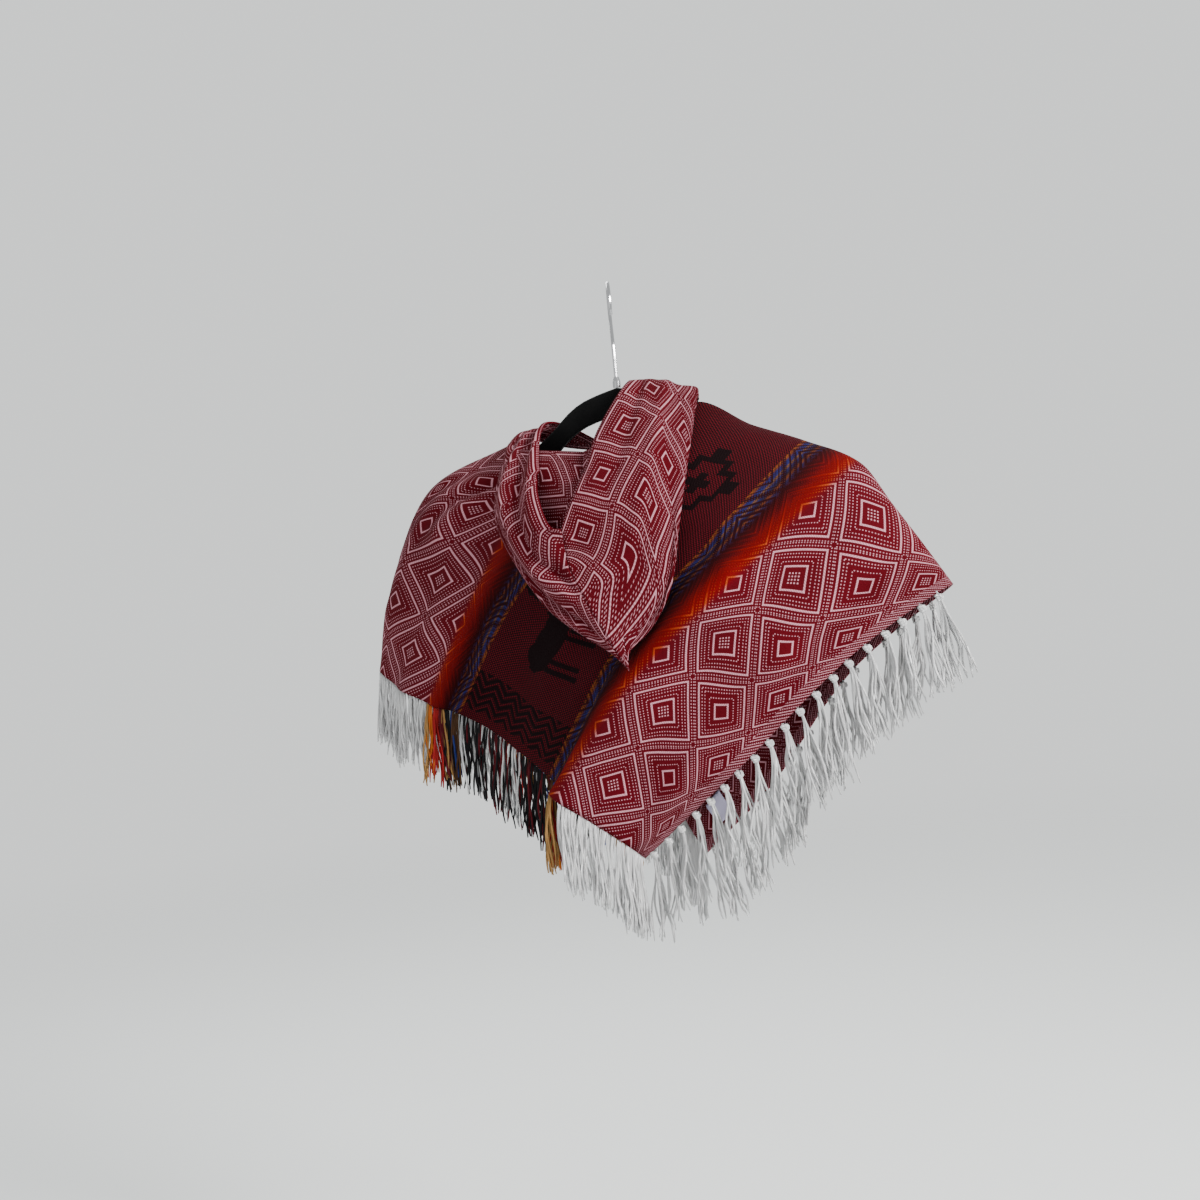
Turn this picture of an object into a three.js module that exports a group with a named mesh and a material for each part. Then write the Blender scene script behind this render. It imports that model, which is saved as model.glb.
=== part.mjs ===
// A hooded poncho on a clothes hanger, in millimetres, +Z up.
// The arms of the hanger run along X, the hood hangs on the -Y side, and the origin is the inside
// top of the hook, where a rail would carry it.

import * as THREE from 'three';
import { mergeVertices } from 'three/addons/utils/BufferGeometryUtils.js';

// ---------------------------------------------------------------- driving sizes

const CLOTH = 2.2;             // thickness of the woven cloth
const SEAM_GAP = 0.3;          // between two pieces that are sewn together
const LOOM_WIDTH = 550;        // body cloth, from the knotted side edge to the seamed side edge
const FRINGE_REACH = 80;
const FRINGE_THICK = 4;
const TASSEL_THICK = 5;

const HANGER_HALF_SPAN = 213;  // to where the rounded tips begin
const HANGER_THICK = 6;
const ARM_DEPTH = 25;
const COLLAR_BASE = -98;       // where the wire's collar meets the arms
const COLLAR_HEIGHT = 10;
const COLLAR_R = 3.8;
const WIRE_R = 1.75;
const HOOK_INSIDE_R = 19;
const HOOK_TURN = 64;          // degrees that the hook is swivelled out of the arms' plane

// ---------------------------------------------------------------- finishes

const finish = (color, roughness, metalness = 0) =>
  new THREE.MeshStandardMaterial({ color, roughness, metalness, side: THREE.DoubleSide });

const CRIMSON = finish(0x9c1428, 0.9);
const WHITE_YARN = finish(0xe9e7e6, 0.9);
const RAINBOW_YARN = finish(0xa8431f, 0.9);
const BLACK_YARN = finish(0x2b2a2c, 0.9);
const LABEL_CLOTH = finish(0xb9b4cf, 0.6);
const FLOCK = finish(0x0d0d0e, 0.95);
const CHROME = finish(0xc9ccd0, 0.2, 1);

// ---------------------------------------------------------------- curves through rows

// A smooth value at x through the rows' values, with slopes taken from the neighbouring rows.
function through(stops, values, x) {
  const last = stops.length - 1;
  let k = 0;
  while (k < last - 1 && x > stops[k + 1]) {
    k += 1;
  }
  const slope = (i) => {
    const a = Math.max(i - 1, 0);
    const b = Math.min(i + 1, last);
    return (values[b] - values[a]) / (stops[b] - stops[a]);
  };
  const span = stops[k + 1] - stops[k];
  const t = (x - stops[k]) / span;
  const u = 1 - t;
  return values[k] * (1 + 2 * t) * u * u + values[k + 1] * (1 + 2 * u) * t * t
    + slope(k) * span * t * u * u - slope(k + 1) * span * t * t * u;
}

// A point on the surface whose rows are `lines`, each { at, points }, at (x across, v along). A row
// may have one point more than there are steps: it shapes the cloth on its way over a fold.
function netPoint(lines, steps, x, v) {
  const beyond = 2 * steps.at(-1) - steps.at(-2);
  const ats = lines.map((line) => line.at);
  const along = lines.map((line) => {
    const stops = line.points.length > steps.length ? [...steps, beyond] : steps;
    return [0, 1, 2].map((axis) => through(stops, line.points.map((point) => point[axis]), v));
  });
  return new THREE.Vector3(...[0, 1, 2].map(
    (axis) => through(ats, along.map((point) => point[axis]), x)));
}

// ---------------------------------------------------------------- cloth walls

// A closed wall of even thickness about a surface of points and triangles, whose open edges get rims.
// `lean` may give some points their own direction to thicken in, for a mitre at a seam.
function wall(points, triangles, thickness, lean = new Map()) {
  const normals = points.map(() => new THREE.Vector3());
  for (const [a, b, c] of triangles) {
    const face = new THREE.Vector3().subVectors(points[b], points[a])
      .cross(new THREE.Vector3().subVectors(points[c], points[a]));
    [a, b, c].forEach((i) => normals[i].add(face));
  }
  normals.forEach((normal, i) => (lean.has(i) ? normal.copy(lean.get(i)) : normal).normalize());
  const n = points.length;
  const position = [];
  for (const side of [0.5, -0.5]) {
    points.forEach((point, i) => position.push(
      ...point.clone().addScaledVector(normals[i], side * thickness).toArray()));
  }
  const index = [];
  const edges = new Map();
  for (const [a, b, c] of triangles) {
    index.push(a, b, c, a + n, c + n, b + n);
    for (const [p, q] of [[a, b], [b, c], [c, a]]) {
      edges.set(`${p},${q}`, [p, q]);
    }
  }
  for (const [p, q] of edges.values()) {
    if (!edges.has(`${q},${p}`)) {
      index.push(q, p, p + n, q, p + n, q + n);
    }
  }
  const geometry = new THREE.BufferGeometry();
  geometry.setAttribute('position', new THREE.Float32BufferAttribute(position, 3));
  geometry.setIndex(index);
  return geometry;
}

// The triangles of a grid of point numbers, rows by columns, turned over when `flip` is true.
function gridTriangles(grid, flip = false) {
  const triangles = [];
  for (let i = 0; i + 1 < grid.length; i += 1) {
    for (let j = 0; j + 1 < grid[i].length; j += 1) {
      const [a, b, c, d] = [grid[i][j], grid[i + 1][j], grid[i + 1][j + 1], grid[i][j + 1]];
      for (const t of [[a, b, c], [a, c, d]]) {
        if (new Set(t).size === 3) {
          triangles.push(flip ? [t[0], t[2], t[1]] : t);
        }
      }
    }
  }
  return triangles;
}

// Eases each inner point of a grid towards the middle of its four neighbours.
function relax(points, grid, times) {
  for (let round = 0; round < times; round += 1) {
    for (let i = 1; i + 1 < grid.length; i += 1) {
      for (let j = 1; j + 1 < grid[i].length; j += 1) {
        const middle = new THREE.Vector3();
        [grid[i - 1][j], grid[i + 1][j], grid[i][j - 1], grid[i][j + 1]].forEach((k) => middle.add(points[k]));
        points[grid[i][j]].lerp(middle.multiplyScalar(0.25), 0.5);
      }
    }
  }
}

// A wall over a plain grid given by at(x, v), eased a number of times.
function sheetOf(at, across, along, thickness, flip = false, eased = 0) {
  const points = [];
  const grid = across.map((x) => along.map((v) => {
    points.push(at(x, v));
    return points.length - 1;
  }));
  relax(points, grid, eased);
  return wall(points, gridTriangles(grid, flip), thickness);
}

function steps(from, to, count) {
  return Array.from({ length: count + 1 }, (_, i) => from + (to - from) * i / count);
}

// ---------------------------------------------------------------- the body's warp lines

// Each row is one warp yarn: how far it lies from the knotted edge, then its hem, a third and two
// thirds of the way up, and its top, on the shoulder fold or on the neck scoop.
const THIRDS = [0, 1 / 3, 2 / 3, 1];

const SHOULDER = {            // the tops of the yarns that reach the shoulder fold
  0: [301, 0, -312],
  66: [279, 0, -276],
  108: [254, 0, -237],
  150: [229, 0, -198],
  219: [180, 0, -172],
  277: [131, 0, -151],
  335: [77, 0, -123],
};
const SEAM = [[-283, 34, -360], [-273, 8, -268], [-220, 0, -174], [-116, 0, -136]];

const NEAR = [
  {
    name: 'knotted edge', at: 0,
    points: [[12, -60, -535], [118, -68, -453], [220, -45, -364], SHOULDER[0]],
  },
  {
    name: 'small diamonds', at: 66,
    points: [[6, -84, -518], [87, -88, -425], [179, -66, -345], SHOULDER[66]],
  },
  {
    name: 'large diamonds', at: 108,
    points: [[-21, -100, -494], [72, -104, -391], [165, -76, -307], SHOULDER[108]],
  },
  {
    name: 'crest of fold', at: 150,
    points: [[-44, -112, -473], [45, -116, -373], [147, -86, -283], SHOULDER[150]],
  },
  {
    name: 'foot of fold', at: 219,
    points: [[-78, -66, -456], [10, -88, -343], [123, -76, -241], SHOULDER[219]],
  },
  {
    name: 'middle of dark band', at: 277,
    points: [[-128, -52, -422], [-47, -74, -330], [70, -76, -232], SHOULDER[277]],
  },
  {
    name: 'edge of dark band', at: 335,
    points: [[-180, -44, -395], [-91, -68, -288], [14, -78, -208], SHOULDER[335]],
  },
  {
    name: 'left tinted diamonds', at: 404,
    points: [[-211, -50, -381], [-140, -62, -278], [-72, -62, -200], [26, -38, -163]],
  },
  {
    name: 'left large diamonds', at: 446,
    points: [[-260, -32, -366], [-201, -48, -278], [-142, -46, -201], [-38, -46, -174]],
  },
  {
    name: 'left small diamonds', at: 500,
    points: [[-287, -6, -350], [-262, -14, -266], [-206, -16, -182], [-92, -28, -158]],
  },
  {
    name: 'seam', at: LOOM_WIDTH,
    points: SEAM,
  },
];

const FAR = [
  {
    name: 'knotted edge', at: 0,
    points: [[20, 66, -554], [94, 62, -490], [191, 38, -384], SHOULDER[0]],
  },
  {
    name: 'large diamonds', at: 108,
    points: [[-30, 98, -508], [50, 92, -415], [165, 58, -310], SHOULDER[108]],
  },
  {
    name: 'foot of fold', at: 219,
    points: [[-98, 74, -470], [-25, 76, -368], [95, 58, -250], SHOULDER[219]],
  },
  {
    name: 'edge of dark band', at: 335,
    points: [[-160, 96, -436], [-100, 80, -340], [-10, 66, -220], SHOULDER[335]],
  },
  {
    name: 'left large diamonds', at: 446,
    points: [[-232, 70, -398], [-198, 66, -298], [-122, 56, -202], [-22, 58, -160]],
  },
  {
    name: 'seam', at: LOOM_WIDTH,
    points: SEAM,
  },
];

const NECK_START = 335;       // the last yarn that reaches the fold

// The yarns that lie over the fold run on into the other layer.
const overFold = (lines, other) => lines.map((line) => (line.at >= NECK_START ? line : {
  ...line, points: [...line.points, netPoint(other, THIRDS, line.at, THIRDS[2]).toArray()],
}));
const NEAR_NET = overFold(NEAR, FAR);
const FAR_NET = overFold(FAR, NEAR);
const nearPoint = (q, v) => netPoint(NEAR_NET, THIRDS, q, v);

// The far layer is eased so that it meets the near one along the fold.
function farPoint(q, v) {
  const point = netPoint(FAR_NET, THIRDS, q, v);
  if (q < NECK_START) {
    const miss = nearPoint(q, 1).sub(netPoint(FAR_NET, THIRDS, q, 1));
    point.addScaledVector(miss, THREE.MathUtils.smoothstep(v, 0.4, 1));
  }
  return point;
}

const ACROSS = [
  ...steps(0, 150, 8),
  ...steps(150, 219, 5).slice(1),
  ...steps(219, NECK_START, 6).slice(1),
  ...steps(NECK_START, LOOM_WIDTH, 12).slice(1),
];
const ALONG = steps(0, 1, 18);

function bodyGeometry() {
  const points = [];
  const add = (point) => points.push(point) - 1;
  const near = ACROSS.map((q) => ALONG.map((v) => add(nearPoint(q, v))));
  const far = ACROSS.map((q, i) => ALONG.map((v, j) => (
    v === 1 && q <= NECK_START ? near[i][j] : add(farPoint(q, v)))));
  const lean = new Map();
  const last = ACROSS.length - 1;
  ALONG.forEach((v, j) => {
    const nearSide = points[near[last - 1][j]].clone().sub(points[near[last][j]]).normalize();
    const farSide = points[far[last - 1][j]].clone().sub(points[far[last][j]]).normalize();
    const out = nearSide.clone().add(farSide).negate().normalize();
    const apart = nearSide.clone().sub(farSide).normalize().multiplyScalar(SEAM_GAP / 2 + 0.05);
    points[near[last][j]].add(apart);
    points[far[last][j]].sub(apart);
    lean.set(near[last][j], out);
    lean.set(far[last][j], out);
  });
  return wall(points, [...gridTriangles(near, true), ...gridTriangles(far)], CLOTH, lean);
}

// ---------------------------------------------------------------- fringe

// A plain slab of the fringe's reach, hanging below the hem from yarn `from` to yarn `to`.
function cutEnds(at, from, to) {
  const across = steps(from, to, Math.max(3, Math.round((to - from) / 20)));
  const drop = CLOTH / 2 + SEAM_GAP + 0.6;
  return sheetOf((q, v) => {
    const hem = at(q, 0);
    const above = at(q, 0.05);
    const away = hem.clone().sub(above).normalize();
    const start = hem.addScaledVector(away, drop);
    return start.add(new THREE.Vector3(0, 0, -FRINGE_REACH * v));
  }, across, [0, 0.5, 1], FRINGE_THICK, at === farPoint);
}

// The knotted bunches hang from the loom-side edge, between two shares of its length.
function knottedEnds(at, from, to) {
  return sheetOf((v, w) => {
    const edge = at(0, v);
    const inner = at(12, v);
    const away = edge.clone().sub(inner).normalize();
    edge.addScaledVector(away, CLOTH + TASSEL_THICK / 2);
    return edge.add(new THREE.Vector3(0, 0, -FRINGE_REACH * w));
  }, steps(from, to, 12), [0, 0.5, 1], TASSEL_THICK, at === farPoint);
}

// ---------------------------------------------------------------- the hanger

const HANGER_TOP = [          // how far the arms' top edge lies below the collar, by distance out
  [0, 0], [20, 4], [40, 10], [56, 19.5], [72, 33], [100, 50], [150, 72], [HANGER_HALF_SPAN, 95],
];

const hangerTop = (x) => COLLAR_BASE - through(
  HANGER_TOP.map((row) => row[0]), HANGER_TOP.map((row) => row[1]), Math.abs(x));

function armsGeometry() {
  const top = steps(-HANGER_HALF_SPAN, HANGER_HALF_SPAN, 48);
  const shape = new THREE.Shape();
  const bottom = (x) => hangerTop(x) - ARM_DEPTH * (1 - 0.18 * Math.abs(x) / HANGER_HALF_SPAN);
  top.forEach((x, i) => (i ? shape.lineTo(x, hangerTop(x)) : shape.moveTo(x, hangerTop(x))));
  const end = HANGER_HALF_SPAN;
  const tip = end + ARM_DEPTH / 2.4;
  const low = bottom(end);
  const high = hangerTop(end);
  shape.bezierCurveTo(tip, high - 3, tip, low + 2, end, low);
  [...top].reverse().slice(1).forEach((x) => shape.lineTo(x, bottom(x)));
  shape.bezierCurveTo(-tip, low + 2, -tip, high - 3, -end, high);
  const round = 1.2;
  const geometry = new THREE.ExtrudeGeometry(shape, {
    depth: HANGER_THICK - 2 * round, bevelEnabled: true, bevelThickness: round, bevelSize: round,
    bevelOffset: -round, bevelSegments: 1, curveSegments: 6,
  });
  geometry.translate(0, 0, -(HANGER_THICK - 2 * round) / 2);
  geometry.rotateX(Math.PI / 2);
  return geometry;
}

function collarGeometry() {
  const half = COLLAR_HEIGHT / 2;
  const profile = [[0, -half], [COLLAR_R, -half], [COLLAR_R, half * 0.2], [WIRE_R + 0.9, half], [0, half]];
  const turned = profile.map(([r, z]) => new THREE.Vector2(r, z));
  const geometry = new THREE.LatheGeometry(turned, 24);
  geometry.rotateX(Math.PI / 2);
  return geometry;
}

// The wire rises from the collar, bends aside and turns over the rail; its plane is swivelled.
function hookGeometry() {
  const r = HOOK_INSIDE_R + WIRE_R;
  const arc = steps(-35, 215, 20).map((degrees) => {
    const angle = THREE.MathUtils.degToRad(degrees);
    return [r * Math.cos(angle), -HOOK_INSIDE_R + r * Math.sin(angle)];
  });
  const foot = COLLAR_BASE + COLLAR_HEIGHT + SEAM_GAP;
  const stem = [[-6, -46], [-0.8, -56], [0, -66], [0, -76], [0, foot]];
  const wire = [...arc, ...stem].map(([w, z]) => new THREE.Vector3(w, 0, z));
  const path = new THREE.CatmullRomCurve3(wire);
  const section = new THREE.Shape();
  section.absarc(0, 0, WIRE_R, 0, 2 * Math.PI);
  const options = { steps: 90, extrudePath: path, curveSegments: 4 };
  const geometry = new THREE.ExtrudeGeometry(section, options);
  geometry.rotateZ(THREE.MathUtils.degToRad(-HOOK_TURN));
  return geometry;
}

// ---------------------------------------------------------------- the hood

// The near layer's triangles as seen along Y, so that the hood can lie on them.
const nearTriangles = [];
{
  const grid = ACROSS.map((q) => ALONG.map((v) => nearPoint(q, v)));
  for (let i = 0; i + 1 < grid.length; i += 1) {
    for (let j = 0; j + 1 < grid[i].length; j += 1) {
      nearTriangles.push([grid[i][j], grid[i + 1][j], grid[i + 1][j + 1]]);
      nearTriangles.push([grid[i][j], grid[i + 1][j + 1], grid[i][j + 1]]);
    }
  }
}

// How far forward the near layer comes at a place; a large value where there is none.
function frontOfBody(x, z) {
  let front = 1e3;
  for (const [a, b, c] of nearTriangles) {
    const whole = (b.x - a.x) * (c.z - a.z) - (c.x - a.x) * (b.z - a.z);
    const u = ((x - a.x) * (c.z - a.z) - (c.x - a.x) * (z - a.z)) / whole;
    const w = ((b.x - a.x) * (z - a.z) - (x - a.x) * (b.z - a.z)) / whole;
    if (u >= 0 && w >= 0 && u + w <= 1) {
      front = Math.min(front, a.y + u * (b.y - a.y) + w * (c.y - a.y));
    }
  }
  return front;
}

// Each row is one line of a half's cloth, from the neck seam over the arm of the hanger and down to
// the crown seam; `lift` is the least distance that it keeps off the back of the body.
const QUARTERS = [0, 0.25, 0.5, 0.75, 1];
const CROWN = [
  [-19, -98, -231], [-13, -111, -262], [4, -118, -296], [22, -123, -326], [36, -126, -348], [46, -129, -361],
];
const BACK_SEAM = [[-14, -56, -160], [-2, -86, -198], [14, -101, -250], [32, -110, -306], CROWN[5]];

const HOOD_RIGHT = [
  {
    name: 'face edge', at: 0, lift: 24,
    points: [[-20, 50, -150], [15, 0, -94], [3, -56, -141], [-6, -84, -192], CROWN[0]],
  },
  {
    name: 'by the face', at: 0.2, lift: 24,
    points: [[14, 46, -147], [34, 0, -96], [42, -76, -172], [30, -103, -243], CROWN[1]],
  },
  {
    name: 'side', at: 0.4, lift: 22,
    points: [[48, 32, -138], [56, 0, -104], [68, -74, -182], [54, -104, -268], CROWN[2]],
  },
  {
    name: 'right fold', at: 0.6, lift: 15,
    points: [[79, 8, -117], [83, -8, -117], [90, -78, -208], [76, -100, -292], CROWN[3]],
  },
  {
    name: 'under the fold', at: 0.8, lift: 7,
    points: [[62, -26, -134], [74, -40, -150], [72, -76, -215], [66, -104, -314], CROWN[4]],
  },
  {
    name: 'back seam', at: 1, lift: 5,
    points: BACK_SEAM,
  },
];
const HOOD_LEFT = [
  {
    name: 'face edge', at: 0, lift: 26,
    points: [[-32, 50, -150], [-72, 0, -122], [-60, -58, -166], [-34, -92, -222], CROWN[0]],
  },
  {
    name: 'roll', at: 0.2, lift: 22,
    points: [[-58, 46, -147], [-82, 0, -125], [-76, -72, -180], [-52, -105, -240], CROWN[1]],
  },
  {
    name: 'side', at: 0.4, lift: 18,
    points: [[-84, 30, -141], [-94, -3, -128], [-92, -76, -194], [-54, -104, -262], CROWN[2]],
  },
  {
    name: 'left fold', at: 0.6, lift: 13,
    points: [[-104, 10, -133], [-108, -14, -134], [-102, -78, -210], [-46, -106, -284], CROWN[3]],
  },
  {
    name: 'under the fold', at: 0.8, lift: 7,
    points: [[-94, -32, -146], [-100, -44, -160], [-88, -70, -224], [-34, -108, -302], CROWN[4]],
  },
  {
    name: 'back seam', at: 1, lift: 5,
    points: BACK_SEAM,
  },
];
const HALF_SEAM = 2;          // from a half's sewn edges to the seam line between the halves

const EASING = 3;

function hoodGeometry(rows, side) {
  const lifts = rows.map((row) => row.lift);
  const at = (x, v) => {
    const point = netPoint(rows, QUARTERS, x, v);
    const lift = through(rows.map((row) => row.at), lifts, x);
    const hanging = THREE.MathUtils.smoothstep(v, 0.4, 0.6);
    const clear = Math.min(point.y, frontOfBody(point.x, point.z) - lift);
    point.y += hanging * (clear - point.y);
    const sewn = Math.max(THREE.MathUtils.smoothstep(v, 0.85, 1), THREE.MathUtils.smoothstep(x, 0.85, 1));
    point.x += side * HALF_SEAM * (1 + 2.5 * x * v) * sewn;
    return point;
  };
  return sheetOf(at, steps(0, 1, 16), steps(0, 1, 20), CLOTH, side < 0, EASING);
}

// ---------------------------------------------------------------- the label

// A small patch on the inside of the far layer, near its knotted corner.
function labelGeometry() {
  return sheetOf((q, v) => {
    const point = farPoint(q, v);
    point.y -= CLOTH + SEAM_GAP;
    return point;
  }, steps(16, 48, 3), steps(0.1, 0.17, 3), 0.8);
}

// ---------------------------------------------------------------- the assembly

const poncho = new THREE.Group();
const place = (name, geometry, material) => {
  const clean = new THREE.BufferGeometry();
  clean.setAttribute('position', geometry.getAttribute('position'));
  if (geometry.index) {
    clean.setIndex(geometry.index);
  }
  const mesh = new THREE.Mesh(mergeVertices(clean, 1e-4), material);
  mesh.name = name;
  poncho.add(mesh);
  return mesh;
};

place('body', bodyGeometry(), CRIMSON);
place('hood_right', hoodGeometry(HOOD_RIGHT, 1), CRIMSON);
place('hood_left', hoodGeometry(HOOD_LEFT, -1), CRIMSON);

const ZONES = [
  { name: 'white', from: 3, to: 146, material: WHITE_YARN },
  { name: 'rainbow', from: 154, to: 215, material: RAINBOW_YARN },
  { name: 'dark', from: 223, to: 334, material: BLACK_YARN },
  { name: 'left_rainbow', from: 336, to: 403, material: RAINBOW_YARN },
  { name: 'left_white', from: 405, to: 545, material: WHITE_YARN },
];
for (const zone of ZONES) {
  place(`fringe_near_${zone.name}`, cutEnds(nearPoint, zone.from, zone.to), zone.material);
  place(`fringe_far_${zone.name}`, cutEnds(farPoint, zone.from, zone.to), zone.material);
}
place('tassels_near', knottedEnds(nearPoint, 0.02, 0.95), WHITE_YARN);
place('tassels_far', knottedEnds(farPoint, 0.02, 0.92), WHITE_YARN);
place('label', labelGeometry(), LABEL_CLOTH);

place('hanger_arms', armsGeometry(), FLOCK);
const collar = place('hanger_collar', collarGeometry(), CHROME);
collar.position.z = COLLAR_BASE + COLLAR_HEIGHT / 2 + SEAM_GAP;
place('hanger_hook', hookGeometry(), CHROME);

export default poncho;
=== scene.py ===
"""A hooded Andean poncho on a flocked clothes hanger.

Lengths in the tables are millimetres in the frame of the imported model: the origin is the inside top
of the hanger's hook, the hanger's arms run along X, the hood hangs on the -Y side and Z is up.
A place on the cloth is (yarn, height): how far its warp yarn lies from the knotted side edge, and how
far up that yarn it is from the hem.
"""
import math

import bpy
import numpy as np
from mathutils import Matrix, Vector


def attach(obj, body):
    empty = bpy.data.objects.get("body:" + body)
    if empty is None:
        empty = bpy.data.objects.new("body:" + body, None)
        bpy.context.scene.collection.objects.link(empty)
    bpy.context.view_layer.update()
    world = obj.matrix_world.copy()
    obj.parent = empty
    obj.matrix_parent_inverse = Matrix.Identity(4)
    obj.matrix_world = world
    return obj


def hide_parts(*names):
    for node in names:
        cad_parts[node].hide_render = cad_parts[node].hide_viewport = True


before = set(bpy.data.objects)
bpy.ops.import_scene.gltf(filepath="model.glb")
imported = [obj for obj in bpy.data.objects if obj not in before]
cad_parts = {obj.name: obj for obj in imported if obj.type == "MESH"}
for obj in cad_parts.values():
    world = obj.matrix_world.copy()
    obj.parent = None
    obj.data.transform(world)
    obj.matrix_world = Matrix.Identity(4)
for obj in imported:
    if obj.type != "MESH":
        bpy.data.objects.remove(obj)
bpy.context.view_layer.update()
MM = 0.001

# ------------------------------------------------------------------ driving sizes

LOOM_WIDTH = 550.0           # from the knotted edge to the seamed edge
NEAR_LENGTH = 410.0          # hem to shoulder fold, on the side where the hood hangs
FAR_LENGTH = 425.0
NECK_START = 335.0           # the last yarn that reaches the fold
NECK_DEPTH = 110.0
CLOTH = 2.0
FRINGE = 78.0
BAND_MIDDLE = 277.0          # middle of the dark band
BAND_HALF = 58.0             # the dark band's half width
RAINBOW_OUT = 127.0          # from the middle of the dark band to the outer edge of the rainbow
CELL = 59.4                  # side of one square of the pattern
SQUARE_YARN = 108.0          # the first large square's centre: its yarn,
SQUARE_HEIGHT = 42.0         # and its height above the hem
TASSEL_SPACING = 19.0        # between the knots of the side edge
LABEL_START = 16             # the label's first yarn
LABEL_WIDTH = 32

RNG = np.random.default_rng(7)

# ------------------------------------------------------------------ camera, lights and floor

VIEW_AZIMUTH = math.radians(26.0)
VIEW_ROLL = math.radians(5.3)
VIEW_DISTANCE = 1.5
VIEW_LENS = 47.37
LOOK_AT = Vector((-0.0312, -0.0152, -0.297))
FLOOR_Z = -1.05

TOWARDS_VIEW = Vector((math.sin(VIEW_AZIMUTH), -math.cos(VIEW_AZIMUTH), 0.0))
VIEW_RIGHT = Vector((math.cos(VIEW_AZIMUTH), math.sin(VIEW_AZIMUTH), 0.0))


def make_camera():
    data = bpy.data.cameras.new("view")
    data.lens = VIEW_LENS
    data.sensor_width = 36.0
    data.clip_end = 50.0
    camera = bpy.data.objects.new("view", data)
    bpy.context.collection.objects.link(camera)
    camera.location = LOOK_AT + TOWARDS_VIEW * VIEW_DISTANCE
    turn = (-TOWARDS_VIEW).to_track_quat("-Z", "Y").to_matrix().to_4x4()
    camera.rotation_euler = turn.to_euler()
    camera.rotation_euler.rotate_axis("Z", -VIEW_ROLL)
    bpy.context.scene.camera = camera


def soft_light(name, right, towards, up, size, power, tint=(1.0, 1.0, 1.0)):
    data = bpy.data.lights.new(name, "AREA")
    data.shape = "DISK"
    data.size = size
    data.energy = power
    data.color = tint
    light = bpy.data.objects.new(name, data)
    bpy.context.collection.objects.link(light)
    light.location = LOOK_AT + VIEW_RIGHT * right + TOWARDS_VIEW * towards + Vector((0, 0, up))
    light.rotation_euler = (LOOK_AT - light.location).to_track_quat("-Z", "Y").to_euler()


def make_lights():
    soft_light("window", 1.7, 1.5, 1.0, 0.8, 125.0, (1.0, 0.99, 0.97))
    soft_light("fill", -1.6, 1.6, 0.2, 1.6, 4.0)
    soft_light("back", -0.4, -1.8, 1.2, 1.2, 20.0)
    world = bpy.data.worlds.new("studio")
    world.use_nodes = True
    sky = world.node_tree.nodes["Background"]
    sky.inputs["Color"].default_value = (1.06, 1.085, 1.08, 1.0)
    sky.inputs["Strength"].default_value = 1.0
    bpy.context.scene.world = world


def make_floor(material):
    bpy.ops.object.select_all(action="DESELECT")
    bpy.ops.mesh.primitive_circle_add(vertices=96, radius=9.0, fill_type="NGON", location=(0, 0, FLOOR_Z))
    floor = bpy.context.object
    floor.name = "floor"
    floor.data.materials.append(material)


# ------------------------------------------------------------------ shader expressions


class Number:
    """A number that changes over a surface: sums written with it add Math nodes."""

    def __init__(self, shader, socket):
        self.shader = shader
        self.socket = socket

    def math(self, operation, *others):
        return self.shader.node("ShaderNodeMath", {"operation": operation}, [self, *others])

    def __add__(self, other):
        return self.math("ADD", other)

    def __sub__(self, other):
        return self.math("SUBTRACT", other)

    def __mul__(self, other):
        return self.math("MULTIPLY", other)

    def __truediv__(self, other):
        return self.math("DIVIDE", other)

    def __rsub__(self, other):
        return self.shader.node("ShaderNodeMath", {"operation": "SUBTRACT"}, [other, self])

    def __abs__(self):
        return self.math("ABSOLUTE")

    def __neg__(self):
        return self * -1.0

    __radd__ = __add__
    __rmul__ = __mul__

    def floor(self):
        return self.math("FLOOR")

    def sin(self):
        return self.math("SINE")

    def cos(self):
        return self.math("COSINE")

    def at_most(self, other):
        return self.math("MINIMUM", other)

    def at_least(self, other):
        return self.math("MAXIMUM", other)

    def over(self, limit, soft=0.25):
        """0 below the limit and 1 above it, over a short soft step."""
        share = (self - limit) / soft + 0.5
        return share.at_least(0.0).at_most(1.0)

    def near(self, centre, half, soft=0.5):
        """1 within half of the centre, and 0 outside."""
        return (half - abs(self - centre)).over(0.0, soft)


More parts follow.
